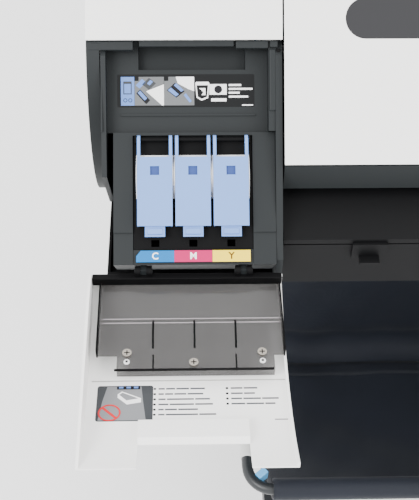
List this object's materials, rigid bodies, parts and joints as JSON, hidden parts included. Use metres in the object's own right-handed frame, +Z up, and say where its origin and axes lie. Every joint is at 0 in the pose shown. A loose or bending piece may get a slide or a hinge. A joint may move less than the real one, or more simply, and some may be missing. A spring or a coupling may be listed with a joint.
{
  "type": "wide-format inkjet printer",
  "caption": "Wide-format inkjet printer on a caster stand, both ink covers open over tanks with blue lock levers, cloth basket below.",
  "frame": {"origin": "on the floor, midway between the stand's legs and under the middle of the feet", "axes": "+X to the operator's right, +Y to the back, +Z up"},
  "size_m": [0.997, 0.871, 1.062],
  "materials": {
    "cover_white": "fine satin texture",
    "housing_grey": "fine matte texture",
    "inner_black": "matte",
    "lever_blue": "satin",
    "tank_white": "satin",
    "smoked_liner": "smoked translucent",
    "window_black": "polished",
    "screw_steel": "nickel plated",
    "machine_steel": "plain",
    "stand_paint": "semi-gloss powder coat",
    "basket_fabric": "plain weave",
    "belt_rubber": "matte",
    "wheel_rubber": "matte",
    "screen_glass": "gloss",
    "key_grey": "satin",
    "board_green": "solder mask"
  },
  "bodies": {
    "machine": {"base_tray": "inner_black", "basket_cloth": "basket_fabric", "basket_frame": "stand_paint", "capping_station": "housing_grey", "chassis": "machine_steel", "control_panel": "housing_grey", "electronics": "board_green", "front_fascia": "housing_grey", "lcd_screen": "screen_glass", "left_bay_housing": "housing_grey", "left_leg": "stand_paint", "left_side_case": "housing_grey", "left_tank_frame": "housing_grey", "left_tank_holder": "inner_black", "left_top_deck": "cover_white", "output_guide": "inner_black", "rear_forks": "stand_paint", "rear_panel": "housing_grey", "rear_sockets": "inner_black", "right_bay_housing": "housing_grey", "right_leg": "stand_paint", "right_side_case": "housing_grey", "right_tank_frame": "housing_grey", "right_tanks": "tank_white", "right_top_deck": "cover_white", "stand_bars": "stand_paint", "tank_cyan": "tank_white", "tank_magenta": "tank_white", "tank_yellow": "tank_white", "timing_belt": "belt_rubber"},
    "left_cover": {"left_ink_cover": "cover_white", "left_cover_liner": "smoked_liner", "left_cover_screws": "screw_steel"},
    "right_cover": {"right_ink_cover": "cover_white", "right_cover_liner": "smoked_liner"},
    "top_lid": {"top_cover": "cover_white", "top_cover_window": "window_black"},
    "roll_lid": {"roll_cover": "cover_white"},
    "print_carriage": {"carriage": "inner_black"},
    "drive_wheel": {"drive_pulley": "machine_steel"},
    "idler_wheel": {"idler_pulley": "machine_steel"},
    "feed_shaft": {"feed_roller": "machine_steel"},
    "pinch_shaft": {"pinch_rollers": "belt_rubber"},
    "paper_spindle": {"roll_spindle": "key_grey"},
    "waste_cartridge": {"maintenance_cartridge": "inner_black"},
    "panel_key_1": {"key_1": "key_grey"},
    "panel_key_2": {"key_2": "key_grey"},
    "panel_key_3": {"key_3": "key_grey"},
    "lever_body_cyan": {"lever_cyan": "lever_blue"},
    "lever_body_magenta": {"lever_magenta": "lever_blue"},
    "lever_body_yellow": {"lever_yellow": "lever_blue"},
    "lever_body_matte_black": {"lever_matte_black": "lever_blue"},
    "lever_body_photo_black": {"lever_photo_black": "lever_blue"},
    "lever_body_grey": {"lever_grey": "lever_blue"},
    "caster_left": {"fork_front_left": "stand_paint"},
    "caster_right": {"fork_front_right": "stand_paint"},
    "wheel_body_front_left": {"wheel_front_left": "wheel_rubber"},
    "wheel_body_front_right": {"wheel_front_right": "wheel_rubber"},
    "wheel_body_rear_left": {"wheel_rear_left": "wheel_rubber"},
    "wheel_body_rear_right": {"wheel_rear_right": "wheel_rubber"}
  },
  "joints": [
    {"name": "left_cover_hinge", "type": "hinge", "parent": "machine", "child": "left_cover", "pos_m": [-0.401, -0.29, 0.776], "axis": [-1, 0, 0], "range_deg": [0, 135]},
    {"name": "right_cover_hinge", "type": "hinge", "parent": "machine", "child": "right_cover", "pos_m": [0.401, -0.29, 0.776], "axis": [-1, 0, 0], "range_deg": [0, 135]},
    {"name": "top_cover_hinge", "type": "hinge", "parent": "machine", "child": "top_lid", "pos_m": [0, 0.112, 1.053], "axis": [1, 0, 0], "range_deg": [-65, 0]},
    {"name": "roll_cover_hinge", "type": "hinge", "parent": "machine", "child": "roll_lid", "pos_m": [0, 0.29, 1.006], "axis": [1, 0, 0], "range_deg": [-70, 0]},
    {"name": "lever_cyan_pivot", "type": "hinge", "parent": "machine", "child": "lever_body_cyan", "pos_m": [-0.4315, -0.18982, 0.86074], "axis": [1, 0, 0], "range_deg": [-80, 0]},
    {"name": "lever_magenta_pivot", "type": "hinge", "parent": "machine", "child": "lever_body_magenta", "pos_m": [-0.3936, -0.18982, 0.86074], "axis": [1, 0, 0], "range_deg": [-80, 0]},
    {"name": "lever_yellow_pivot", "type": "hinge", "parent": "machine", "child": "lever_body_yellow", "pos_m": [-0.3557, -0.18982, 0.86074], "axis": [1, 0, 0], "range_deg": [-80, 0]},
    {"name": "lever_matte_black_pivot", "type": "hinge", "parent": "machine", "child": "lever_body_matte_black", "pos_m": [0.4315, -0.18982, 0.86074], "axis": [1, 0, 0], "range_deg": [-80, 0]},
    {"name": "lever_photo_black_pivot", "type": "hinge", "parent": "machine", "child": "lever_body_photo_black", "pos_m": [0.3936, -0.18982, 0.86074], "axis": [1, 0, 0], "range_deg": [-80, 0]},
    {"name": "lever_grey_pivot", "type": "hinge", "parent": "machine", "child": "lever_body_grey", "pos_m": [0.3557, -0.18982, 0.86074], "axis": [1, 0, 0], "range_deg": [-80, 0]},
    {"name": "carriage_slide", "type": "slide", "parent": "machine", "child": "print_carriage", "axis": [1, 0, 0], "range_m": [-0.4, 0.4]},
    {"name": "drive_pulley_spin", "type": "hinge", "parent": "machine", "child": "drive_wheel", "pos_m": [0.452, 0.056, 0.872], "axis": [0, 0, 1], "continuous": true},
    {"name": "idler_pulley_spin", "type": "hinge", "parent": "machine", "child": "idler_wheel", "pos_m": [-0.452, 0.056, 0.872], "axis": [0, 0, 1], "continuous": true},
    {"name": "feed_roller_spin", "type": "hinge", "parent": "machine", "child": "feed_shaft", "pos_m": [0, 0.03, 0.797], "axis": [1, 0, 0], "continuous": true},
    {"name": "pinch_roller_spin", "type": "hinge", "parent": "machine", "child": "pinch_shaft", "pos_m": [0, 0.03, 0.8144], "axis": [1, 0, 0], "continuous": true},
    {"name": "roll_spindle_spin", "type": "hinge", "parent": "machine", "child": "paper_spindle", "pos_m": [0, 0.212, 0.962], "axis": [1, 0, 0], "continuous": true},
    {"name": "waste_cartridge_slide", "type": "slide", "parent": "machine", "child": "waste_cartridge", "axis": [0, 1, 0], "range_m": [0, 0.14]},
    {"name": "key_1_press", "type": "slide", "parent": "machine", "child": "panel_key_1", "axis": [0, 0.682, -0.7314], "range_m": [0, 0.0012], "stiffness_N_per_m": 400, "springref_m": -0.0005},
    {"name": "key_2_press", "type": "slide", "parent": "machine", "child": "panel_key_2", "axis": [0, 0.682, -0.7314], "range_m": [0, 0.0012], "stiffness_N_per_m": 400, "springref_m": -0.0005},
    {"name": "key_3_press", "type": "slide", "parent": "machine", "child": "panel_key_3", "axis": [0, 0.682, -0.7314], "range_m": [0, 0.0012], "stiffness_N_per_m": 400, "springref_m": -0.0005},
    {"name": "caster_left_swivel", "type": "hinge", "parent": "machine", "child": "caster_left", "pos_m": [-0.255, -0.316, 0.09], "axis": [0, 0, 1], "continuous": true},
    {"name": "caster_right_swivel", "type": "hinge", "parent": "machine", "child": "caster_right", "pos_m": [0.255, -0.316, 0.09], "axis": [0, 0, 1], "continuous": true},
    {"name": "wheel_front_left_spin", "type": "hinge", "parent": "caster_left", "child": "wheel_body_front_left", "pos_m": [-0.255, -0.3, 0.027], "axis": [1, 0, 0], "continuous": true},
    {"name": "wheel_front_right_spin", "type": "hinge", "parent": "caster_right", "child": "wheel_body_front_right", "pos_m": [0.255, -0.3, 0.027], "axis": [1, 0, 0], "continuous": true},
    {"name": "wheel_rear_left_spin", "type": "hinge", "parent": "machine", "child": "wheel_body_rear_left", "pos_m": [-0.255, 0.332, 0.027], "axis": [1, 0, 0], "continuous": true},
    {"name": "wheel_rear_right_spin", "type": "hinge", "parent": "machine", "child": "wheel_body_rear_right", "pos_m": [0.255, 0.332, 0.027], "axis": [1, 0, 0], "continuous": true}
  ],
  "couplings": [
    {"joint": "drive_pulley_spin", "follows": "carriage_slide", "rad_per_m": 111.11},
    {"joint": "idler_pulley_spin", "follows": "carriage_slide", "rad_per_m": 111.11},
    {"joint": "pinch_roller_spin", "follows": "feed_roller_spin", "ratio": -1.8333}
  ]
}
